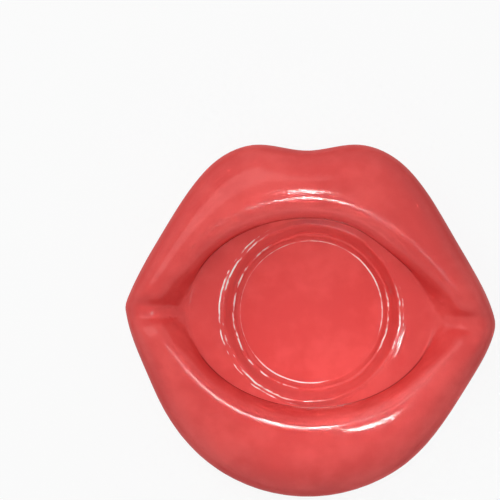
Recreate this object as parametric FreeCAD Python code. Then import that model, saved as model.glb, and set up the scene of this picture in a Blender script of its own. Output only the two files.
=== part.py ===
"""Lip-shaped ashtray: one glazed ceramic casting that stands on four rubber pads.

Millimetres, +Z up. The origin is on the table, under the middle of the dish. +X points to the right mouth
corner and +Y to the upper lip, as one looks down on the dish.
"""
import FreeCAD, Part
import math
import os

V = FreeCAD.Vector

# Mouth corners, where the two lips meet
CORNER_REACH = 75.0
LEFT_CORNER_Y = 4.3
RIGHT_CORNER_Y = -1.4
CORNER_HALF_HEIGHT = 5.4
CORNER_SETBACK = 1.1

# Upper lip outline: the bow's dip and peaks, then shoulder and flank on each side of the lip axis
LIP_AXIS_X = -1.1
BOW_DIP_Y = 69.1
BOW_PEAK_X = 21.2
BOW_PEAK_Y = 71.5
SHOULDER_X = 36.5
SHOULDER_Y = 65.4
UPPER_FLANK_X = 46.0
UPPER_FLANK_Y = 55.6
UPPER_FLANK_BULGE = 1.2

# Lower lip outline: an arc that runs out into straight flanks
LOWER_LIP_RADIUS = 65.6
LOWER_LIP_BOTTOM_Y = -71.5
LOWER_ARC_HALF_ANGLE = 60.0
LOWER_FLANK_BULGE = 0.9

# Mouth: the crease where the lips meet the ledge is a tilted ellipse, drawn in at its upper right
MOUTH_X = 0.4
MOUTH_Y = 3.4
MOUTH_HALF_WIDTH = 50.3
MOUTH_HALF_HEIGHT = 38.3
MOUTH_TILT = -1.5
PINCH_DEPTH = 4.3
PINCH_ANGLE = 33.0
PINCH_SPREAD = 28.0

# Heights above the underside of the foot
WIDEST_HEIGHT = 12.0
LEDGE_HEIGHT = 19.0
REST_HEIGHT = 26.0
CORNER_HEIGHT = 30.0
UPPER_LIP_HEIGHT = 34.5
LOWER_LIP_HEIGHT = 36.0

# Section of the lips: the crest is measured outwards from the crease, the foot inwards from the outline
CREST_INSET = 10.3
CORNER_CREST_INSET = 7.5
OUTER_FULLNESS = 2.2
INNER_FULLNESS = 3.2
FOOT_INSET = 12.0
BELLY_SWEEP = 70.0

# Cigarette rests in the mouth corners, each with a throat that slopes from its top down to the ledge
REST_WIDTH = 9.4
REST_SETBACK = 8.8
THROAT_WIDTH = 28.0
HOLLOW_STEEPNESS = 4

# Bowl: the margin is the ledge where it is narrowest, the floor's thickness is measured from the recess
BOWL_MARGIN = 2.0
BOWL_WALL_RUN = 4.8
BOWL_FLOOR_THICKNESS = 5.0
BOWL_COVE = 4.0
BOWL_RIM_ROUND = 1.8

# Underside: a flat ring to stand on, with a shallow recess inside it and a pad in each quarter of it
FOOT_RING_WIDTH = 17.5
RECESS_DEPTH = 1.5
RECESS_CHAMFER = 0.8
PAD_DIAMETER = 12.0
PAD_THICKNESS = 2.0
PAD_CHAMFER = 0.6

# Points of the skin: along the lower lip's arc, between two landmarks, down the belly and round the crest
ARC_POINTS = 7
STATIONS_PER_SPAN = 4
BELLY_POINTS = 3
CREST_TURNS = (22.5, 45.0, 67.5)
# The throat's slope at those turns: share of the way in, share of the height that is left
THROAT_SLOPE = ((0.28, 0.97), (0.48, 0.78), (0.70, 0.42))
SAMPLES = 360
MATCH = 1e-3

MOUTH = V(MOUTH_X, MOUTH_Y, 0)
CORNERS = {
    "right": V(CORNER_REACH, RIGHT_CORNER_Y, 0),
    "left": V(-CORNER_REACH, LEFT_CORNER_Y, 0),
}


def corner_landmarks(tip, side):
    """The blunt tip of a mouth corner, in the order that goes round the outline to the left."""
    beside = V(-side * CORNER_SETBACK, 0, 0)
    along = V(0, side * CORNER_HALF_HEIGHT, 0)
    return [tip + beside - along, tip, tip + beside + along]


def upper_landmarks():
    """The upper lip from the right flank over the bow to the left flank."""
    half = [(UPPER_FLANK_X, UPPER_FLANK_Y), (SHOULDER_X, SHOULDER_Y), (BOW_PEAK_X, BOW_PEAK_Y)]
    right = [V(LIP_AXIS_X + x, y, 0) for x, y in half]
    left = [V(LIP_AXIS_X - x, y, 0) for x, y in reversed(half)]
    return right + [V(LIP_AXIS_X, BOW_DIP_Y, 0)] + left


def lower_landmarks():
    """The arc of the lower lip, from left to right."""
    centre = V(LIP_AXIS_X, LOWER_LIP_BOTTOM_Y + LOWER_LIP_RADIUS, 0)
    points = []
    for k in range(ARC_POINTS):
        turn = math.radians(LOWER_ARC_HALF_ANGLE * (2 * k / (ARC_POINTS - 1) - 1))
        points.append(centre + V(math.sin(turn), -math.cos(turn), 0) * LOWER_LIP_RADIUS)
    return points


def flank_landmark(first, second, bulge):
    """The middle of a nearly straight flank that runs from first to second, with the dish on its left."""
    run = second - first
    outward = V(run.y, -run.x, 0).normalize()
    return (first + second) * 0.5 + outward * bulge


def outline_curve():
    """The closed outline of the dish at its widest height. It starts at the tip of the left corner."""
    left_high, left_tip, left_low = corner_landmarks(CORNERS["left"], -1)
    right_low, right_tip, right_high = corner_landmarks(CORNERS["right"], 1)
    lower = lower_landmarks()
    upper = upper_landmarks()
    points = [left_tip, left_low, flank_landmark(left_low, lower[0], LOWER_FLANK_BULGE)] + lower
    points += [flank_landmark(lower[-1], right_low, LOWER_FLANK_BULGE), right_low, right_tip, right_high]
    points += [flank_landmark(right_high, upper[0], UPPER_FLANK_BULGE)] + upper
    points += [flank_landmark(upper[-1], left_high, UPPER_FLANK_BULGE), left_high]
    curve = Part.BSplineCurve()
    curve.interpolate(Points=points, PeriodicFlag=True)
    return curve


def station_parameters(curve):
    """Places along the outline, a few in each span, so that they crowd where the landmarks do."""
    knots = curve.getKnots()
    places = []
    for start, end in zip(knots, knots[1:]):
        places += [start + (end - start) * k / STATIONS_PER_SPAN for k in range(STATIONS_PER_SPAN)]
    return places + [knots[-1]]


def crease_radius(angle):
    """Distance from the middle of the mouth to the crease."""
    turned = angle - math.radians(MOUTH_TILT)
    ellipse = 1 / math.hypot(math.cos(turned) / MOUTH_HALF_WIDTH, math.sin(turned) / MOUTH_HALF_HEIGHT)
    from_pinch = (math.degrees(angle) - PINCH_ANGLE + 180) % 360 - 180
    return ellipse - PINCH_DEPTH * math.exp(-(from_pinch / PINCH_SPREAD) ** 2)


def angle_from_mouth(point):
    return math.atan2(point.y - MOUTH.y, point.x - MOUTH.x)


def off_axis(angle, radius):
    """Distance sideways from the axis of the nearer mouth corner."""
    offsets = []
    for tip in CORNERS.values():
        turn = angle - angle_from_mouth(tip)
        if math.cos(turn) > 0:
            offsets.append(abs(radius * math.sin(turn)))
    return min(offsets, default=radius)


def hollow(offset, width):
    """1 on the axis of a hollow, a half at its edge and 0 far outside, with a flat bottom."""
    return 1 / (1 + (2 * offset / width) ** HOLLOW_STEEPNESS)


def blend(first, second, share):
    return first + (second - first) * share


def rounded(degrees, fullness):
    """A point on a quarter of a rounded square: how far across and how far up it is."""
    turn = math.radians(degrees)
    return math.sin(turn) ** (2 / fullness), math.cos(turn) ** (2 / fullness)


def lip_rise(angle):
    """0 at a mouth corner and 1 at mid lip, with the height of that lip's crest."""
    right = angle_from_mouth(CORNERS["right"])
    left = angle_from_mouth(CORNERS["left"])
    along = (angle - right) % (2 * math.pi)
    upper_sweep = (left - right) % (2 * math.pi)
    if along <= upper_sweep:
        return math.sin(math.pi * along / upper_sweep), UPPER_LIP_HEIGHT
    return math.sin(math.pi * (along - upper_sweep) / (2 * math.pi - upper_sweep)), LOWER_LIP_HEIGHT


def lip_section(outer, inner, angle):
    """(radius, height) points over the lip, from the foot up the outside, over the crest, to the crease."""
    rise, lip_height = lip_rise(angle)
    throat = hollow(off_axis(angle, inner), THROAT_WIDTH)
    crest_radius = inner + blend(CORNER_CREST_INSET, CREST_INSET, rise)
    crest_radius = blend(crest_radius, outer - REST_SETBACK, throat)
    notch = hollow(off_axis(angle, crest_radius), REST_WIDTH)
    top = blend(blend(CORNER_HEIGHT, lip_height, rise), REST_HEIGHT, notch)
    sweep = math.radians(BELLY_SWEEP)
    points = []
    for k in range(BELLY_POINTS):
        turn = sweep * (1 - k / BELLY_POINTS)
        inset = FOOT_INSET * (1 - math.cos(turn)) / (1 - math.cos(sweep))
        points.append((outer - inset, WIDEST_HEIGHT * (1 - math.sin(turn) / math.sin(sweep))))
    points.append((outer, WIDEST_HEIGHT))
    for degrees in reversed(CREST_TURNS):
        across, up = rounded(degrees, OUTER_FULLNESS)
        points.append((blend(crest_radius, outer, across), blend(WIDEST_HEIGHT, top, up)))
    points.append((crest_radius, top))
    for degrees, (throat_across, throat_up) in zip(CREST_TURNS, THROAT_SLOPE):
        across, up = rounded(degrees, INNER_FULLNESS)
        radius = blend(crest_radius, inner, blend(across, throat_across, throat))
        points.append((radius, blend(LEDGE_HEIGHT, top, blend(up, throat_up, throat))))
    points.append((inner, LEDGE_HEIGHT))
    return points


def lip_skin():
    """One smooth closed surface over both lips, from the edge of the foot to the crease."""
    outline = outline_curve()
    around = station_parameters(outline)
    sections = []
    for place in around[:-1]:
        edge = outline.value(place)
        angle = angle_from_mouth(edge)
        outward = V(math.cos(angle), math.sin(angle), 0)
        section = lip_section((edge - MOUTH).Length, crease_radius(angle), angle)
        sections.append([MOUTH + outward * radius + V(0, 0, height) for radius, height in section])

    rows = len(sections[0])
    steps = [sum((s[k + 1] - s[k]).Length for s in sections) for k in range(rows - 1)]
    over = [sum(steps[:k]) / sum(steps) for k in range(rows)]

    loops = []
    for row in range(rows):
        loop = Part.BSplineCurve()
        loop.interpolate(Points=[s[row] for s in sections], PeriodicFlag=True, Parameters=around)
        loops.append(loop)
    poles = []
    for column in zip(*[loop.getPoles() for loop in loops]):
        across = Part.BSplineCurve()
        across.interpolate(Points=list(column), Parameters=over)
        poles.append(across.getPoles())
    skin = Part.BSplineSurface()
    skin.buildFromPolesMultsKnots(
        poles, loops[0].getMultiplicities(), across.getMultiplicities(),
        loops[0].getKnots(), across.getKnots(), True, False, loops[0].Degree, across.Degree)
    return skin.toShape()


def rim_face(skin, height):
    """The flat face that closes the skin's rim at a height."""
    rim = [e for e in skin.Edges if all(abs(vertex.Z - height) < MATCH for vertex in e.Vertexes)]
    return Part.Face(Part.Wire(rim))


def circle_edges(solid, radius, height):
    """The round edges of a solid with this radius at this height."""
    return [e for e in solid.Edges
            if isinstance(e.Curve, Part.Circle)
            and abs(e.Curve.Radius - radius) < MATCH and abs(e.Curve.Center.z - height) < MATCH]


def bowl_radius():
    """Radius of the bowl's mouth, which leaves a margin of ledge all round."""
    return min(crease_radius(2 * math.pi * k / SAMPLES) for k in range(SAMPLES)) - BOWL_MARGIN


def foot_radius():
    """Radius of the largest circle about the mouth that the foot covers."""
    return min((point - MOUTH).Length for point in outline_curve().discretize(SAMPLES)) - FOOT_INSET


def dish_body():
    """The casting: lips, ledge, bowl and rests in one, with a shallow recess under the bowl."""
    skin = lip_skin()
    shell = Part.makeShell([skin, rim_face(skin, 0), rim_face(skin, LEDGE_HEIGHT)])
    shell.sewShape()
    blank = Part.makeSolid(shell)

    mouth_radius = bowl_radius()
    floor_radius = mouth_radius - BOWL_WALL_RUN
    floor_height = RECESS_DEPTH + BOWL_FLOOR_THICKNESS
    recess_radius = foot_radius() - FOOT_RING_WIDTH
    bowl = Part.makeCone(floor_radius, mouth_radius, LEDGE_HEIGHT - floor_height, MOUTH + V(0, 0, floor_height))
    recess = Part.makeCylinder(recess_radius, RECESS_DEPTH, MOUTH)
    body = blank.cut(bowl).cut(recess)
    body = body.makeFillet(BOWL_RIM_ROUND, circle_edges(body, mouth_radius, LEDGE_HEIGHT))
    body = body.makeFillet(BOWL_COVE, circle_edges(body, floor_radius, floor_height))
    body = body.makeChamfer(RECESS_CHAMFER, circle_edges(body, recess_radius, 0))
    return body.translate(V(0, 0, PAD_THICKNESS))


def foot_pad(degrees):
    """A round rubber pad stuck to the middle of the foot's ring, with a softened lower edge."""
    turn = math.radians(degrees)
    centre = MOUTH + V(math.cos(turn), math.sin(turn), 0) * (foot_radius() - FOOT_RING_WIDTH / 2)
    pad = Part.makeCylinder(PAD_DIAMETER / 2, PAD_THICKNESS, centre)
    return pad.makeChamfer(PAD_CHAMFER, circle_edges(pad, PAD_DIAMETER / 2, 0))


PAD_PLACES = {"back_right": 45, "back_left": 135, "front_left": 225, "front_right": 315}

pieces = {"dish_body": dish_body()}
for place, degrees in PAD_PLACES.items():
    pieces["foot_pad_" + place] = foot_pad(degrees)

os.makedirs("parts", exist_ok=True)
for node, shape in pieces.items():
    shape.exportStep("parts/" + node + ".step")
    box = shape.BoundBox
    print(node, shape.ShapeType, shape.isValid(), len(shape.Solids), len(shape.Faces), round(shape.Volume, 1),
          [round(v, 3) for v in (box.XMin, box.XMax, box.YMin, box.YMax, box.ZMin, box.ZMax)])
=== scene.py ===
"""Looks of the lip-shaped ashtray, laid out as a Blender add-on and run as a script.

Metres, +Z up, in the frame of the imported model: the table is at Z 0 and the upper lip lies towards +Y.
The glazed dish grows from a copy of the CAD casting. The copy's lips are kept, and its ledge and bowl are
drawn again with the beads and waves that a hand-finished rim has. The pads are turned from a profile.
"""
import math
from collections import namedtuple
import bpy
import bmesh
from bpy.props import FloatProperty, FloatVectorProperty, IntProperty, PointerProperty
from mathutils import Matrix, Vector, noise


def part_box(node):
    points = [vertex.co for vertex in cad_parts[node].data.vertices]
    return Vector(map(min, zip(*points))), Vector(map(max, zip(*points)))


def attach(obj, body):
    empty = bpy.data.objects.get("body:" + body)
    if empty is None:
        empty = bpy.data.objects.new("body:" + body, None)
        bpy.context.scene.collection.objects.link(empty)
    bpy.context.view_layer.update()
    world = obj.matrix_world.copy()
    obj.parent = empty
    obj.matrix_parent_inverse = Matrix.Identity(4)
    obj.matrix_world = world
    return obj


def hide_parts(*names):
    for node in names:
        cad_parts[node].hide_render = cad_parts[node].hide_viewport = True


bl_info = {
    "name": "Lip Ashtray",
    "version": (1, 0, 0),
    "blender": (4, 5, 0),
    "location": "View3D > Sidebar > Ashtray",
    "description": "Dresses the lip-shaped ashtray in glaze and rubber and sets its stage",
    "category": "Object",
}

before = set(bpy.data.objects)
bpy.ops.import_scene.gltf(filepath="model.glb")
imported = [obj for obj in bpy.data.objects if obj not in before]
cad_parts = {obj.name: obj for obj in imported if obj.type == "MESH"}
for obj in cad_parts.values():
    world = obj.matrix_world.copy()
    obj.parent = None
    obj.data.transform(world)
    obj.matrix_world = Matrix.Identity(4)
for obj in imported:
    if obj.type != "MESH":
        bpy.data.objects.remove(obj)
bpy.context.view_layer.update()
CASTING = "dish_body"
PADS = sorted(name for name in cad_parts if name.startswith("foot_pad"))
BODY = "root"
MM = 0.001
UP = Vector((0, 0, 1))
WHITE = (1, 1, 1, 1)
SHARP_ANGLE = math.radians(40)

# The picture: its size, and the place and width of the dish in it, in pixels, beside the dish's real width
IMAGE_SIZE = 500
DISH_X, DISH_Y = 310.0, 320.5
DISH_PIXELS = 368
DISH_WIDTH = 150 * MM


def length(name, description, default):
    """A size in metres that a user may change."""
    return FloatProperty(name=name, description=description, default=default, unit="LENGTH", precision=5)


def colour(name, description, default):
    """A linear colour that a user may change."""
    return FloatVectorProperty(name=name, description=description, default=default, subtype="COLOR",
                               min=0, max=1, size=3)


class DishSettings(bpy.types.PropertyGroup):
    """Sizes and colours of the glazed dish."""

    rim_radius: length("Rim radius", "Outer foot of the bead round the bowl", 37.9 * MM)
    floor_radius: length("Floor radius", "Edge of the bowl's flat floor", 28.2 * MM)
    bead_height: length("Bead height", "Height of the rim's bead above the ledge", 0.11 * MM)
    rim_wander: length("Rim wander", "How far the rim's beads wander in and out", 0.34 * MM)
    rim_ripple: length("Rim ripple", "Fine ripple along the beads and the floor's edge", 0.022 * MM)
    lip_wave: length("Lip wave", "Unevenness of the lips from casting and glazing", 0.10 * MM)
    floor_wave: length("Floor wave", "Unevenness of the ledge and the bowl's floor", 0.02 * MM)
    glaze: colour("Glaze", "Coral red of an even coat of glaze", (0.71, 0.060, 0.056))
    glaze_thin: colour("Thin glaze", "Where the glaze lies thin, in soft clouds", (0.79, 0.084, 0.077))
    # Painted shade: the dark colour at the crease, which also stands for glaze pooled there
    glaze_deep_shade: colour("Deep glaze", "Where the glaze pools in a crease", (0.36, 0.016, 0.016))
    # Painted light: a lighter colour that lifts shaded walls
    glaze_painted_light: colour("Run glaze", "Where the glaze has run off a steep wall", (0.84, 0.118, 0.112))
    # Painted highlight: pale lines on the rim's beads and the floor's edge, also glaze breaking thin on the
    # beads
    glaze_painted_highlight: colour("Pale glaze", "Where the glaze breaks over a bead", (0.94, 0.88, 0.83))
    clay: colour("Clay", "Bare fired clay under the foot", (0.72, 0.64, 0.54))


class PadSettings(bpy.types.PropertyGroup):
    """Sizes and colour of the rubber pads."""

    rim_width: length("Ring width", "Width of the ring that a pad stands on", 1.6 * MM)
    dimple_depth: length("Dimple depth", "Depth of the dimple inside that ring", 0.25 * MM)
    edge_round: length("Edge round", "Round of a pad's lower edge", 0.5 * MM)
    steps: IntProperty(name="Steps", description="Steps round a pad", default=48, min=12)
    rubber: colour("Rubber", "Black rubber of the pads", (0.022, 0.022, 0.023))


class StageSettings(bpy.types.PropertyGroup):
    """Camera, floor and soft light."""

    distance: length("Camera distance", "From the middle of the dish to the camera", 1.0)
    elevation: FloatProperty(name="Camera elevation", description="Height of the camera above the horizon",
                             default=math.radians(92.0), subtype="ANGLE")
    pixel: length("Pixel", "Size of one pixel of the picture at the dish", DISH_WIDTH / DISH_PIXELS)
    floor: colour("Floor", "Pale floor", (0.70, 0.70, 0.70))
    fill: FloatProperty(name="Fill", description="Strength of the soft light from all round", default=0.45)


class Socket:
    """An output of a shader node, on which sums can be written as sums."""

    def __init__(self, shader, output):
        self.shader = shader
        self.output = output

    def maths(self, operation, first, second):
        """A Math node on two values."""
        return self.shader.node("ShaderNodeMath", {"operation": operation}, {0: first, 1: second})

    def __add__(self, other):
        return self.maths("ADD", self, other)

    def __sub__(self, other):
        return self.maths("SUBTRACT", self, other)

    def __rsub__(self, other):
        return self.maths("SUBTRACT", other, self)

    def __mul__(self, other):
        return self.maths("MULTIPLY", self, other)

    __radd__ = __add__
    __rmul__ = __mul__


# Noise: its scale where patches are about 1 m across, and the middle of its range
PATCH_SCALE = 0.5
NOISE_MIDDLE = 0.5


class Shader:
    """The nodes of one material or of the world."""

    def __init__(self, owner):
        owner.use_nodes = True
        self.tree = owner.node_tree
        self.tree.nodes.clear()

    def node(self, kind, settings=None, sockets=None, output=0):
        """Adds a node, sets it up, fills or links its sockets and gives one of its outputs."""
        made = self.tree.nodes.new(kind)
        for name, value in (settings or {}).items():
            setattr(made, name, value)
        for key, value in (sockets or {}).items():
            if isinstance(value, Socket):
                self.tree.links.new(value.output, made.inputs[key])
            else:
                made.inputs[key].default_value = value
        return Socket(self, made.outputs[output]) if made.outputs else None

    def place(self):
        """Where a point lies on the object, in metres."""
        return self.node("ShaderNodeTexCoord", output="Object")

    def height(self):
        """Height of a point above the table."""
        return self.node("ShaderNodeSeparateXYZ", sockets={0: self.place()}, output="Z")

    def mark(self, name):
        """A value that the mesh holds at its corners."""
        return self.node("ShaderNodeAttribute", {"attribute_name": name}, output="Fac")

    def patches(self, size, detail, rough):
        """Noise between 0 and 1 whose patches are about this size across."""
        return self.node("ShaderNodeTexNoise", sockets={
            "Vector": self.place(), "Scale": PATCH_SCALE / size, "Detail": detail, "Roughness": rough})

    def ease(self, value, start, end):
        """0 at the start and 1 at the end, whichever of them is higher, with a smooth step between them."""
        return self.node("ShaderNodeMapRange", {"interpolation_type": "SMOOTHSTEP", "clamp": True}, {
            "Value": value, "From Min": start, "From Max": end})

    def mix(self, share, first, second):
        """A colour between two others."""
        return self.node("ShaderNodeMix", {"data_type": "RGBA"}, {0: share, 6: first, 7: second}, output=2)

    def bump(self, height, depth):
        """A normal that follows fine relief of this depth."""
        return self.node("ShaderNodeBump", sockets={"Height": height, "Distance": depth})

    def seen(self):
        """1 for rays from the camera, a mirror or glass, and 0 for light that falls on the dish."""
        path = ("Is Camera Ray", "Is Glossy Ray", "Is Transmission Ray")
        camera, glossy, through = (self.node("ShaderNodeLightPath", output=name) for name in path)
        return self.node("ShaderNodeMath", {"operation": "MAXIMUM"}, {0: camera, 1: glossy + through})

    def finish(self, sockets):
        """A Principled shader."""
        return self.node("ShaderNodeBsdfPrincipled", sockets=sockets)

    def surface(self, shown):
        """Makes a shader the material's own."""
        self.node("ShaderNodeOutputMaterial", sockets={"Surface": shown})


def rgba(values):
    """A colour as a node's socket takes it."""
    return (*values, 1.0)


# Names of the marks on the mesh: painted shade (positive) and painted light (negative), painted highlights,
# and steep flanks
SHADE_AND_LIGHT_MARK = "glaze_pool"
HIGHLIGHT_MARK = "painted_highlight"
STEEP_MARK = "glaze_steep"

# Patches of noise in the glaze, the clay and the rubber: size across, detail, and roughness of the detail
CLOUDS = (16 * MM, 3.0, 0.5)
MOTTLE = (4 * MM, 3.0, 0.6)
RIPPLE = (0.45 * MM, 1.0, 0.5)
SPECKS = (0.5 * MM, 2.0, 0.5)
DUST = (1.5 * MM, 4.0, 0.65)
GRAIN = (0.25 * MM, 2.0, 0.5)

# Tone of the glaze: the clouds' share of it, where one colour gives way to the next, and how high the painted
# shade at the crease, where glaze also pools, reaches up the lips' inner wall
CLOUD_SHARE = 0.7
THIN_RANGE = (0.42, 0.66)
SHADE_RANGE = (0.05, 1.0)
SHADE_MOTTLE = 0.25
SHADE_HEIGHT = 3 * MM
PAINTED_LIGHT_RANGE = (0.0, -1.0)
HIGHLIGHT_RANGE = (0.05, 0.8)

# Bare clay: how high it reaches above the foot, how its edge fades and waves, and its darker specks
BARE_HEIGHT = 2.2 * MM
BARE_FADE = 0.4 * MM
BARE_WAVE = 1.2 * MM
SPECK_RANGE = (0.62, 0.72)
SPECK_SHADE = 0.7

# Skin of the glaze: its ripple, which is nearly still below the ledge, and its roughness, to which the mottle
# and bare clay add
RIPPLE_DEPTH = 0.05 * MM
RIPPLE_SHARE = 0.8
STILL_SHARE = 0.04
STILL_RISE = 2 * MM
GLAZE_ROUGHNESS = 0.05
MOTTLE_ROUGHNESS = 0.05
CLAY_ROUGHNESS = 0.40

# Gloss of the glaze, and how steep a flank has to be to lose most of it
GLOSS = 0.21
SATIN_GLOSS = 0.0
SATIN_SHARE = 0.82
STEEP_RANGE = (0.25, 0.60)

# Rubber: where dust clings, how much it shows and greys, and the depth of the grain
DUST_RANGE = (0.45, 0.75)
DUST_SHARE = 0.6
DUST_LIFT = 0.05
DUST_GAIN = 2
RUBBER_ROUGHNESS = 0.62
DUST_ROUGHNESS = 0.25
GRAIN_DEPTH = 0.03 * MM


def glaze_tone(shader, settings, mottle, ledge_height):
    """Glaze colour: cloudy, with painted shade in creases where glaze also pools, painted light on walls,
    painted highlights.
    """
    thin = shader.ease(CLOUD_SHARE * shader.patches(*CLOUDS) + (1 - CLOUD_SHARE) * mottle, *THIN_RANGE)
    tone = shader.mix(thin, rgba(settings.glaze), rgba(settings.glaze_thin))
    # Painted shade darkens the crease; negative marks are painted light
    pool = shader.mark(SHADE_AND_LIGHT_MARK)
    crease = shader.ease(shader.height(), ledge_height + SHADE_HEIGHT, ledge_height)
    deep_shade = shader.ease(pool * crease + SHADE_MOTTLE * (mottle - NOISE_MIDDLE), *SHADE_RANGE)
    tone = shader.mix(deep_shade, tone, rgba(settings.glaze_deep_shade))
    # Painted light on shaded walls
    tone = shader.mix(shader.ease(pool, *PAINTED_LIGHT_RANGE), tone, rgba(settings.glaze_painted_light))
    # Painted highlights along the rim's beads and the floor's edge
    return shader.mix(shader.ease(shader.mark(HIGHLIGHT_MARK), *HIGHLIGHT_RANGE), tone, rgba(settings.glaze_painted_highlight))


def red_glaze(settings, foot_height, ledge_height):
    """Coral glaze over a bare clay foot: glossy, and nearly satin on steep flanks."""
    material = bpy.data.materials.new("red_glaze")
    shader = Shader(material)
    mottle = shader.patches(*MOTTLE)
    tone = glaze_tone(shader, settings, mottle, ledge_height)

    speck = shader.patches(*SPECKS)
    dark_clay = [SPECK_SHADE * part for part in settings.clay]
    clay = shader.mix(shader.ease(speck, *SPECK_RANGE), rgba(settings.clay), rgba(dark_clay))
    edge = foot_height + BARE_HEIGHT
    bare = shader.ease(shader.height() + BARE_WAVE * mottle, edge + BARE_FADE, edge)

    above_ledge = shader.ease(shader.height(), ledge_height, ledge_height + STILL_RISE)
    lively = STILL_SHARE + (1 - STILL_SHARE) * above_ledge
    relief = RIPPLE_SHARE * lively * shader.patches(*RIPPLE) + bare * speck
    looks = {
        "Base Color": shader.mix(bare, tone, clay),
        "Roughness": GLAZE_ROUGHNESS + MOTTLE_ROUGHNESS * lively * mottle + CLAY_ROUGHNESS * bare,
        "Normal": shader.bump(relief, RIPPLE_DEPTH),
    }
    glossy = shader.finish({**looks, "Specular IOR Level": GLOSS})
    satin = shader.finish({**looks, "Specular IOR Level": SATIN_GLOSS})
    dull = SATIN_SHARE * shader.ease(shader.mark(STEEP_MARK), *STEEP_RANGE)
    shader.surface(shader.node("ShaderNodeMixShader", sockets={0: dull, 1: glossy, 2: satin}))
    return material


def black_rubber(settings):
    """Matt black rubber, a little greyed where dust clings to it."""
    material = bpy.data.materials.new("pad_rubber")
    shader = Shader(material)
    dust = shader.ease(shader.patches(*DUST), *DUST_RANGE)
    dusty = [DUST_LIFT + DUST_GAIN * part for part in settings.rubber]
    shader.surface(shader.finish({
        "Base Color": shader.mix(DUST_SHARE * dust, rgba(settings.rubber), rgba(dusty)),
        "Roughness": RUBBER_ROUGHNESS + DUST_ROUGHNESS * dust,
        "Normal": shader.bump(shader.patches(*GRAIN), GRAIN_DEPTH),
    }))
    return material


def mouth_axis():
    """The middle of the mouth on the table. The pads stand evenly round it."""
    boxes = [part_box(name) for name in PADS]
    middle = sum((low + high for low, high in boxes), Vector()) / (2 * len(boxes))
    return Vector((middle.x, middle.y, 0))


def height_at(node, point):
    """Height of a CAD node's top over a point of the table."""
    hit, place, _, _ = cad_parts[node].ray_cast(point + UP, -UP)
    if not hit:
        raise RuntimeError(f"{node} has no surface over {tuple(point)}")
    return place.z


# How far beside the mouth's axis the height of its ledge is measured
LEDGE_SIDE = 43 * MM


class Mouth:
    """The mouth's axis with the heights of its ledge and floor, all measured on the casting."""

    def __init__(self):
        self.axis = mouth_axis()
        self.ledge = height_at(CASTING, self.axis + Vector((LEDGE_SIDE, 0, 0)))
        self.floor = height_at(CASTING, self.axis)

    def polar(self, point):
        """Radius of a point about the axis, and its direction."""
        across = Vector((point.x - self.axis.x, point.y - self.axis.y, 0))
        return across.length, across.normalized()

    def at(self, radius, direction, height):
        """The point at a radius, a direction and a height."""
        return self.axis + direction * radius + UP * height


# Waves: how a seed shifts the noise along each axis, and the circle round the bowl on which it is read
SEED_SHIFT = (1.0, 0.7, 0.3)
WAVE_CIRCLE = 30 * MM

# Strength, size and seed of the waves on the lips, the ledge, the floor and the beads
LIP_WAVES = ((1.0, 22 * MM, 7), (0.35, 8 * MM, 8))
LEDGE_WAVES = ((1.0, 9 * MM, 1),)
FLOOR_WAVES = ((1.0, 12 * MM, 6),)
BEAD_RIPPLES = ((1.0, 1 * MM, 14),)
BEAD_LEVEL = 0.75
BEAD_WAVES = ((1.1, 6 * MM, 4), (0.5, 2.2 * MM, 5))

# The beads' wander, with the seed that is added on the rim and the one on the step above the floor. The rings
# of the step lie below this drop from the ledge
WANDER_WAVES = ((1.2, 7 * MM, 0), (0.6, 2.6 * MM, 9))
RIM_SEED = 2
STEP_SEED = 3
STEP_DROP = 5 * MM

# How the beads die away beside the upper lip, and at the very middle of the lower one
UPPER_FADE = 1.2
UPPER_POWER = 2
LOWER_POWER = 8


def share_of(value):
    """A value kept between 0 and 1."""
    return min(1.0, max(0.0, value))


def waves(point, parts, seed=0):
    """Smooth noise, the same on every run: the sum of waves of some strength, size and seed."""
    total = 0.0
    for strength, size, own_seed in parts:
        shift = Vector([share * (own_seed + seed) for share in SEED_SHIFT])
        total += strength * noise.noise(point / size + shift)
    return total


def round_bowl(direction, depth):
    """The point at which waves round the bowl are read."""
    return direction * WAVE_CIRCLE + UP * depth


def bead_share(direction, depth):
    """How much of its height a bead keeps: it fades and returns round the bowl."""
    kept = BEAD_LEVEL + waves(round_bowl(direction, depth), BEAD_WAVES)
    upper = max(0.0, direction.y)
    lower = max(0.0, -direction.y)
    return max(0.0, kept * (1 - UPPER_FADE * upper ** UPPER_POWER - lower ** LOWER_POWER))


# A corner of the mouth ends where the Y of a direction, which is a unit vector, reaches this
CORNER_SPREAD = 0.5


def at_corner(direction):
    """1 where the ledge runs out to a corner of the mouth, falling to 0 beside it."""
    return max(0.0, 1 - (direction.y / CORNER_SPREAD) ** 2) ** 2


# Where pale painted highlights lie: direction round the mouth from +X and half width, in degrees, and
# strength
RIM_HIGHLIGHTS = ((189, 76, 1.0), (-7, 28, 0.8))
FLOOR_HIGHLIGHTS = ((22, 45, 1.0), (-112, 40, 0.95), (100, 50, 0.50), (180, 55, 0.35))
ARC_POWER = 4

# Dashes in those lines: level and waves, and how far they change from one bead to the next
RIM_DASH_LEVEL = 0.45
RIM_DASHES = ((1.6, 5 * MM, 11), (1.1, 1.5 * MM, 12))
FLOOR_DASH_LEVEL = 0.9
FLOOR_DASHES = ((0.7, 9 * MM, 11), (0.4, 1.5 * MM, 12))
DASH_STRETCH = 3

# The floor's edge starts at this distance in from the rim. Its outer line shows only where an arc is strong
FLOOR_EDGE = 8 * MM
INNER_LINE = 8.7 * MM
STRONG_ARC = 0.55


def arc_share(direction, arcs):
    """Strength of the strongest arc at a direction round the bowl, with soft ends."""
    turn = math.degrees(math.atan2(direction.y, direction.x))
    shares = [0.0]
    for middle, half, strength in arcs:
        off = (turn - middle + 180) % 360 - 180
        shares.append(strength * max(0.0, 1 - (off / half) ** ARC_POWER))
    return max(shares)


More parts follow.
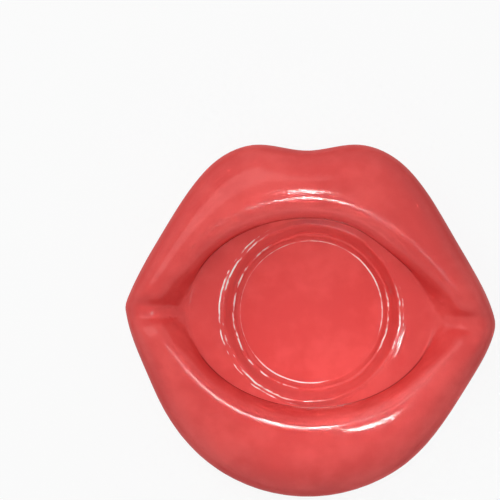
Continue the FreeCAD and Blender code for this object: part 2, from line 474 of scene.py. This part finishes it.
def highlight_share(direction, inset):
    """Share of the painted highlight: dashes round the rim, also glaze breaking thin over the beads, and
    longer lines at the floor's edge.
    """
    turn = round_bowl(direction, DASH_STRETCH * inset)
    if inset <= FLOOR_EDGE:
        return share_of(RIM_DASH_LEVEL + waves(turn, RIM_DASHES)) * arc_share(direction, RIM_HIGHLIGHTS)
    arc = arc_share(direction, FLOOR_HIGHLIGHTS)
    if inset < INNER_LINE:
        arc = (arc - STRONG_ARC) / (1 - STRONG_ARC)
    return share_of(arc * (FLOOR_DASH_LEVEL + waves(turn, FLOOR_DASHES)))


# What is cut out of the casting: how far from the axis and how far below the floor. What is closer than the
# touch counts as level with the ledge, and corners of the casting closer than the merge are one
CUT_REACH = 52 * MM
CUT_DEPTH = 1 * MM
TOUCH = 0.01 * MM
CASTING_MERGE = 1e-7


def casting_copy():
    """A joined-up copy of the casting's loose triangles."""
    mesh = bmesh.new()
    mesh.from_mesh(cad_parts[CASTING].data)
    bmesh.ops.remove_doubles(mesh, verts=mesh.verts[:], dist=CASTING_MERGE)
    return mesh


def open_edges(mesh):
    """The edges round the hole in a mesh."""
    return [edge for edge in mesh.edges if edge.is_boundary]


def cut_out_bowl(mesh, mouth):
    """Deletes the ledge and the bowl, and gives the edges of the crease round the hole."""
    inside = []
    for face in mesh.faces:
        heights = [corner.co.z for corner in face.verts]
        below_lips = max(heights) < mouth.ledge + TOUCH
        above_foot = min(heights) > mouth.floor - CUT_DEPTH
        if below_lips and above_foot and mouth.polar(face.calc_center_median())[0] < CUT_REACH:
            inside.append(face)
    bmesh.ops.delete(mesh, geom=inside, context="FACES")
    return open_edges(mesh)


# Ledge from the crease inwards: share of the way to the rim's bead, and painted shade at the crease, where
# glaze also pools
LEDGE_RINGS = (
    (0.03, 0.3), (0.08, 0.12), (0.14, 0.05), (0.22, 0), (0.32, 0), (0.45, 0), (0.62, 0), (0.8, 0), (0.92, 0),
    (1.0, 0),
)

# The rim and what lies inside it have more corners than the ledge, by this many cuts in each edge
RIM_CUTS = 2

# Bowl from the rim's bead inwards: distance in from the bead's foot and drop below the ledge, in millimetres,
# share of the bead's height and of the wander, painted light, which is negative and lifts the shaded walls,
# and the share of painted highlight, which on the beads also stands for glaze breaking thin
BOWL_RINGS = (
    (0.25, 0.00, 0.5, 0.6, 0.0, 0.1), (0.50, 0.00, 1.0, 1.0, 0.0, 1.0), (0.75, 0.00, 1.0, 1.0, 0.0, 0.8),
    (1.00, 0.00, 0.5, 1.0, 0.0, 0.0), (1.25, 0.00, 0.0, 1.0, 0.0, 0.0), (1.55, 0.00, 0.3, 1.0, 0.0, 0.1),
    (1.85, 0.00, 1.0, 1.0, 0.0, 1.0), (2.15, 0.02, 1.0, 1.0, 0.0, 0.9), (2.45, 0.12, 0.5, 1.0, -0.2, 0.0),
    (2.70, 0.38, 0.0, 0.9, -0.6, 0.0), (2.95, 0.85, 0.0, 0.8, -0.9, 0.0), (3.20, 1.50, 0.0, 0.6, -1.0, 0.0),
    (3.70, 3.00, 0.0, 0.4, -1.0, 0.0), (4.25, 4.80, 0.0, 0.3, -1.0, 0.0), (4.75, 6.40, 0.0, 0.4, -1.0, 0.0),
    (5.20, 7.80, 0.0, 0.7, -1.0, 0.0), (5.50, 8.65, 0.0, 1.0, -0.9, 0.0), (5.75, 9.15, 0.2, 1.0, -0.5, 0.1),
    (6.00, 9.42, 0.6, 1.0, -0.1, 0.9), (6.30, 9.52, 1.0, 1.0, 0.0, 0.8), (6.60, 9.58, 1.0, 1.0, 0.0, 0.0),
    (6.85, 9.80, 0.4, 0.8, -0.2, 0.0), (7.10, 10.20, 0.0, 0.6, -0.6, 0.0), (7.45, 10.90, 0.0, 0.4, -0.9, 0.0),
    (7.80, 11.60, 0.0, 0.3, -0.9, 0.0), (8.10, 12.10, 0.0, 0.2, -0.6, 0.0),
    (8.35, 12.38, -0.15, 0.2, -0.2, 0.0), (8.60, 12.48, -0.3, 0.2, 0.0, 0.8),
    (8.85, 12.50, -0.3, 0.2, 0.0, 0.85), (9.15, 12.50, -0.15, 0.1, 0.0, 0.0),
    (9.50, 12.50, 0.0, 0.0, 0.0, 0.0),
)

# Floor from its edge inwards: share of its radius
FLOOR_RINGS = (0.985, 0.96, 0.92, 0.86, 0.78, 0.69, 0.60, 0.51, 0.42, 0.33, 0.24, 0.15, 0.07)

# Painted shade and light on the lips' inner wall: how far the wall reaches from the axis, and how much of the
# painted shade at the crease fades at the corners. Above this height over the ledge, painted light lifts the
# upper lip's steep wall
WALL_REACH = 56 * MM
CORNER_SHADE_FADE = 0.95
PAINTED_LIGHT_HEIGHT = 6 * MM
PAINTED_LIGHT_SHARE = 0.9
PAINTED_LIGHT_STEEP = 0.3

# Painted light and shade in the bowl: how much painted light lifts the wall, which is less towards +X, and
# how much painted shade lies at the rim's outer side where the rim comes close to the lips
WALL_LIGHT = 0.65
WALL_LIGHT_LEAN = 0.50
GAP_SHADE = 0.45
GAP_WIDTH = 2 * MM
GAP_POWER = 8


class Bowl:
    """Draws the ledge, rim, wall, cove and floor inwards from the crease, and marks steep flanks and painted
    shade, light and highlights.
    """

    def __init__(self, mesh, mouth, settings):
        self.mesh = mesh
        self.mouth = mouth
        self.settings = settings
        self.ring = cut_out_bowl(mesh, mouth)
        self.pool, self.broken, self.steep = (
            mesh.verts.layers.float.new(name) for name in (SHADE_AND_LIGHT_MARK, HIGHLIGHT_MARK, STEEP_MARK))

    def draw(self):
        """Draws the whole bowl, ring by ring."""
        self.mark_lips()
        done = 0.0
        for share, pool in LEDGE_RINGS:
            self.add_ring(self.ledge_corner, (share - done) / (1 - done), pool)
            done = share
        bmesh.ops.subdivide_edges(self.mesh, edges=self.ring, cuts=RIM_CUTS)
        self.ring = open_edges(self.mesh)
        for row in BOWL_RINGS:
            self.add_ring(self.bowl_corner, *row)
        for share in FLOOR_RINGS:
            self.add_ring(self.floor_corner, share)
        bmesh.ops.edgeloop_fill(self.mesh, edges=self.ring)

    def mark_lips(self):
        """Marks steep flanks, painted shade at the foot of the lips' inner wall, where glaze also pools, and
        painted light on its steep upper part.
        """
        self.mesh.normal_update()
        for corner in self.mesh.verts:
            steep = min(1.0, 1 - corner.normal.z)
            corner[self.steep] = steep
            radius, direction = self.mouth.polar(corner.co)
            over_ledge = corner.co.z - self.mouth.ledge
            # Painted light on the upper lip's steep wall, and painted shade at the wall's foot that fades at
            # the corners
            if radius < WALL_REACH and over_ledge > PAINTED_LIGHT_HEIGHT:
                corner[self.pool] = -PAINTED_LIGHT_SHARE * max(0.0, direction.y) * min(1.0, steep / PAINTED_LIGHT_STEEP)
            elif radius < WALL_REACH and over_ledge > -TOUCH:
                corner[self.pool] = 1.0 - CORNER_SHADE_FADE * at_corner(direction)

    def add_ring(self, shape, *row):
        """Extrudes the ring. For each new corner, shape gives its place, its painted shade and light, and its
        painted highlight.
        """
        made = bmesh.ops.extrude_edge_only(self.mesh, edges=self.ring)["geom"]
        corners = {item for item in made if isinstance(item, bmesh.types.BMVert)}
        for corner in corners:
            corner.co, corner[self.pool], corner[self.broken] = shape(*self.mouth.polar(corner.co), *row)
            corner[self.steep] = 0.0
        edges = (item for item in made if isinstance(item, bmesh.types.BMEdge))
        self.ring = [edge for edge in edges if corners.issuperset(edge.verts)]

    def ledge_corner(self, radius, direction, share, pool):
        """A corner of the ledge, a share of the way on to the rim's bead."""
        inner = radius + (self.settings.rim_radius - radius) * share
        point = self.mouth.at(inner, direction, self.mouth.ledge)
        lift = UP * self.settings.floor_wave * waves(point, LEDGE_WAVES)
        # Painted shade at the crease, fading at the corners of the mouth
        return point + lift, pool * (1.0 - at_corner(direction)), 0.0

    def bowl_corner(self, _, direction, inset, drop, bead, stray, pool, broken):
        """A corner of the rim, the wall, the step or the cove, from a row of BOWL_RINGS."""
        settings = self.settings
        inset, drop = inset * MM, drop * MM
        turn = round_bowl(direction, drop)
        seed = RIM_SEED if drop < STEP_DROP else STEP_SEED
        radius = settings.rim_radius - inset + settings.rim_wander * stray * waves(turn, WANDER_WAVES, seed)
        proud = (settings.bead_height + settings.rim_ripple * waves(turn, BEAD_RIPPLES)) * bead
        height = self.mouth.ledge - drop + proud * bead_share(direction, drop)
        # Painted light on the wall, less towards +X, then painted shade where the rim comes close to the lips
        if pool < 0:
            pool *= WALL_LIGHT - WALL_LIGHT_LEAN * direction.x
        if inset < GAP_WIDTH:
            pool += GAP_SHADE * direction.y ** GAP_POWER
        return self.mouth.at(radius, direction, height), pool, broken * highlight_share(direction, inset)

    def floor_corner(self, _, direction, share):
        """A corner of the bowl's floor, at a share of its radius."""
        point = self.mouth.at(self.settings.floor_radius * share, direction, self.mouth.floor)
        return point + UP * self.settings.floor_wave * waves(point, FLOOR_WAVES), 0.0, 0.0


# Where the crease melts away: how near a corner of the mouth, between which radii and how near the ledge's
# height, and how often and how far its corners are smoothed
SOFT_CORNER = 0.2
SOFT_INNER = 41 * MM
SOFT_OUTER = 60 * MM
SOFT_HEIGHT = 5 * MM
SOFT_ROUNDS = 14
SOFT_FACTOR = 0.5

# What counts as the lips: above the ledge, or far out. They are steady near the foot and uneven higher up
LIP_CLEAR = 0.5 * MM
LIP_REACH = 53 * MM
STEADY_HEIGHT = 3 * MM
STEADY_FADE = 6 * MM


def soften_corners(mesh, mouth):
    """Melts the crease away where the ledge runs out to a corner of the mouth."""
    soft = []
    for corner in mesh.verts:
        radius, direction = mouth.polar(corner.co)
        near_ledge = abs(corner.co.z - mouth.ledge) < SOFT_HEIGHT
        if near_ledge and SOFT_INNER < radius < SOFT_OUTER and at_corner(direction) > SOFT_CORNER:
            soft.append(corner)
    for _ in range(SOFT_ROUNDS):
        bmesh.ops.smooth_vert(mesh, verts=soft, factor=SOFT_FACTOR, use_axis_z=True)


def roughen_lips(mesh, mouth, settings, foot_height):
    """Gives the cast lips their slight unevenness, which dies out towards the foot."""
    mesh.normal_update()
    moves = []
    for corner in mesh.verts:
        if corner.co.z > mouth.ledge + LIP_CLEAR or mouth.polar(corner.co)[0] > LIP_REACH:
            share = share_of((corner.co.z - foot_height - STEADY_HEIGHT) / STEADY_FADE)
            swell = waves(corner.co, LIP_WAVES)
            moves.append((corner, corner.normal * settings.lip_wave * swell * share))
    for corner, move in moves:
        corner.co += move


def finish_piece(name, mesh, material, node):
    """Turns a bmesh into a smooth piece that stands for a CAD node."""
    for face in mesh.faces:
        face.smooth = True
    for edge in mesh.edges:
        edge.smooth = edge.calc_face_angle(0) < SHARP_ANGLE
    data = bpy.data.meshes.new(name)
    mesh.to_mesh(data)
    mesh.free()
    data.materials.append(material)
    piece = bpy.data.objects.new(name, data)
    bpy.context.scene.collection.objects.link(piece)
    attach(piece, BODY)
    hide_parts(node)


class ASHTRAY_OT_dish(bpy.types.Operator):
    """Make the glazed dish from the casting, with a hand-finished bowl"""

    bl_idname = "ashtray.dish"
    bl_label = "Glazed Dish"

    def execute(self, context):
        settings = context.scene.ashtray_dish
        mouth = Mouth()
        foot_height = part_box(CASTING)[0].z
        mesh = casting_copy()
        Bowl(mesh, mouth, settings).draw()
        soften_corners(mesh, mouth)
        roughen_lips(mesh, mouth, settings, foot_height)
        bmesh.ops.recalc_face_normals(mesh, faces=mesh.faces[:])
        glaze = red_glaze(settings, foot_height, mouth.ledge)
        finish_piece("glazed_dish", mesh, glaze, CASTING)
        return {"FINISHED"}


# Shares of a pad's round and dimple at which its profile turns, and how close its corners are to be merged
EDGE_TURN = 0.3
TOP_TURN = 0.4
PAD_MERGE = 1e-6


def pad_profile(settings, radius, bottom, top):
    """Radius and height along a pad's section, from the dimple's middle out and round to the top's middle."""
    soft = settings.edge_round
    dimple = settings.dimple_depth
    ring = radius - soft - settings.rim_width
    return (
        (0, bottom + dimple), (ring - soft, bottom + dimple), (ring, bottom + EDGE_TURN * dimple),
        (ring + EDGE_TURN * soft, bottom), (radius - soft, bottom),
        (radius - EDGE_TURN * soft, bottom + EDGE_TURN * soft), (radius, bottom + soft),
        (radius, top - TOP_TURN * soft), (radius - EDGE_TURN * soft, top), (0, top),
    )


class ASHTRAY_OT_pads(bpy.types.Operator):
    """Make the rubber pads under the foot"""

    bl_idname = "ashtray.pads"
    bl_label = "Rubber Pads"

    def execute(self, context):
        settings = context.scene.ashtray_pads
        rubber = black_rubber(settings)
        for node in PADS:
            low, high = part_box(node)
            centre = Vector(((low.x + high.x) / 2, (low.y + high.y) / 2, 0))
            profile = pad_profile(settings, (high.x - low.x) / 2, low.z, high.z)
            mesh = bmesh.new()
            corners = [mesh.verts.new(centre + Vector((radius, 0, height))) for radius, height in profile]
            edges = [mesh.edges.new(pair) for pair in zip(corners, corners[1:])]
            bmesh.ops.spin(mesh, geom=corners + edges, cent=centre, axis=UP, angle=2 * math.pi,
                           steps=settings.steps, use_merge=True)
            bmesh.ops.remove_doubles(mesh, verts=mesh.verts[:], dist=PAD_MERGE)
            bmesh.ops.recalc_face_normals(mesh, faces=mesh.faces[:])
            finish_piece(node.replace("foot_pad", "rubber_pad"), mesh, rubber, node)
        return {"FINISHED"}


# Lamps: direction round the mouth from +X and lean from straight up, in degrees, width round the mouth and
# depth up the lean, power in watts, beam in degrees, and the point beside the mouth's middle that it faces
Lamp = namedtuple("Lamp", "turn lean width depth power beam facing")
LAMPS = {
    "far_lamp": Lamp(94, 7.6, 0.06, 0.085, 2.2, 180, (0, 0)),
    "crest_lamp": Lamp(88, 15.5, 0.07, 0.06, 0.0032, 5, (-0.008, -0.045)),
    "side_lamp": Lamp(-24, 10.5, 0.05, 0.09, 0.0011, 4, (0.030, -0.040)),
    "lower_lip_lamp": Lamp(-30, 11.5, 0.06, 0.12, 0.0040, 6, (0.028, -0.036)),
    "upper_lip_lamp": Lamp(-104, 6.2, 0.08, 0.07, 0.0030, 4.5, (-0.008, 0.046)),
    "front_panel": Lamp(-95, 40, 0.90, 0.45, 0.4, 180, (0, 0)),
    "left_panel": Lamp(130, 42, 1.10, 0.80, 5.2, 180, (0, 0)),
}
LAMP_DISTANCE = 1.2
LAMP_COLOUR = (0.95, 1.0, 1.0)

# A lamp that leans back about the X axis stands towards +Y, a quarter turn from +X
QUARTER_TURN = 90

# Floor: half its side, and how white it is to the camera
FLOOR_HALF = 4.0
FLOOR_WHITE = 0.9

# Camera: the sensor's width in millimetres, and the height that it looks at, where the dish is widest
SENSOR_WIDTH = 36.0
WIDEST = 14 * MM


class ASHTRAY_OT_stage(bpy.types.Operator):
    """Set the pale floor, the soft lamps and the camera"""

    bl_idname = "ashtray.stage"
    bl_label = "Stage"

    def execute(self, context):
        scene = context.scene
        settings = scene.ashtray_stage
        scene.view_settings.view_transform = "Standard"
        self.lay_floor(scene, settings)
        self.light_world(scene, settings)
        self.hang_lamps(scene)
        self.set_camera(scene, settings)
        return {"FINISHED"}

    def lay_floor(self, scene, settings):
        """Lays a floor that takes a shadow and looks nearly white."""
        mesh = bmesh.new()
        bmesh.ops.create_grid(mesh, x_segments=1, y_segments=1, size=FLOOR_HALF)
        data = bpy.data.meshes.new("floor")
        mesh.to_mesh(data)
        mesh.free()
        floor = bpy.data.objects.new("floor", data)
        scene.collection.objects.link(floor)
        material = bpy.data.materials.new("pale_floor")
        shader = Shader(material)
        matt = shader.node("ShaderNodeBsdfDiffuse", sockets={"Color": rgba(settings.floor)})
        white = shader.node("ShaderNodeEmission", sockets={"Color": WHITE, "Strength": 1.0})
        share = FLOOR_WHITE * shader.seen()
        shader.surface(shader.node("ShaderNodeMixShader", sockets={0: share, 1: matt, 2: white}))
        data.materials.append(material)

    def light_world(self, scene, settings):
        """Lights the dish softly from all round, and looks white to the camera and in mirrors."""
        scene.world = bpy.data.worlds.new("soft_light")
        shader = Shader(scene.world)
        strength = settings.fill + (1 - settings.fill) * shader.seen()
        light = shader.node("ShaderNodeBackground", sockets={"Color": WHITE, "Strength": strength})
        shader.node("ShaderNodeOutputWorld", sockets={"Surface": light})

    def hang_lamps(self, scene):
        """Hangs the lamps round the mouth's axis, each turned to the point that it faces."""
        middle = mouth_axis()
        for name, lamp in LAMPS.items():
            light = bpy.data.lights.new(name, "AREA")
            light.shape = "RECTANGLE"
            light.size = lamp.width
            light.size_y = lamp.depth
            light.energy = lamp.power
            light.spread = math.radians(lamp.beam)
            light.color = LAMP_COLOUR
            turned = Matrix.Rotation(math.radians(lamp.turn - QUARTER_TURN), 4, "Z")
            leaned = Matrix.Rotation(-math.radians(lamp.lean), 4, "X")
            place = middle + turned @ leaned @ (UP * LAMP_DISTANCE)
            sight = place - middle - Vector((*lamp.facing, 0))
            aimed = sight.to_track_quat("Z", "Y").to_matrix().to_4x4()
            hung = bpy.data.objects.new(name, light)
            hung.matrix_world = Matrix.Translation(place) @ aimed
            scene.collection.objects.link(hung)

    def set_camera(self, scene, settings):
        """Looks down on the dish so that it lies to the lower right of the picture."""
        half = IMAGE_SIZE / 2
        aim = Vector(((half - DISH_X) * settings.pixel, (DISH_Y - half) * settings.pixel, WIDEST))
        back = Vector((0, -math.cos(settings.elevation), math.sin(settings.elevation)))
        place = UP * WIDEST + back * settings.distance
        look = (place - aim).normalized()
        right = (Vector((1, 0, 0)) - look * look.x).normalized()
        turned = Matrix((right, look.cross(right), look)).transposed().to_4x4()
        data = bpy.data.cameras.new("camera")
        data.sensor_width = SENSOR_WIDTH
        data.lens = data.sensor_width * settings.distance / (IMAGE_SIZE * settings.pixel)
        camera = bpy.data.objects.new("camera", data)
        camera.matrix_world = Matrix.Translation(place) @ turned
        scene.collection.objects.link(camera)
        scene.camera = camera


class ASHTRAY_PT_panel(bpy.types.Panel):
    """Lists the steps that dress the dish"""

    bl_idname = "ASHTRAY_PT_panel"
    bl_label = "Lip Ashtray"
    bl_space_type = "VIEW_3D"
    bl_region_type = "UI"
    bl_category = "Ashtray"

    def draw(self, context):
        for step in STEPS:
            self.layout.operator(step.bl_idname)


GROUPS = {"ashtray_dish": DishSettings, "ashtray_pads": PadSettings, "ashtray_stage": StageSettings}
STEPS = (ASHTRAY_OT_dish, ASHTRAY_OT_pads, ASHTRAY_OT_stage)
CLASSES = (*GROUPS.values(), *STEPS, ASHTRAY_PT_panel)


def register():
    """Gives Blender the settings, the operators and the panel."""
    for kind in CLASSES:
        bpy.utils.register_class(kind)
    for name, group in GROUPS.items():
        setattr(bpy.types.Scene, name, PointerProperty(type=group))


def unregister():
    """Takes them away again."""
    for name in GROUPS:
        delattr(bpy.types.Scene, name)
    for kind in reversed(CLASSES):
        bpy.utils.unregister_class(kind)


def main():
    """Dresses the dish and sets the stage."""
    register()
    bpy.ops.ashtray.dish()
    bpy.ops.ashtray.pads()
    bpy.ops.ashtray.stage()


if __name__ == "__main__":
    main()
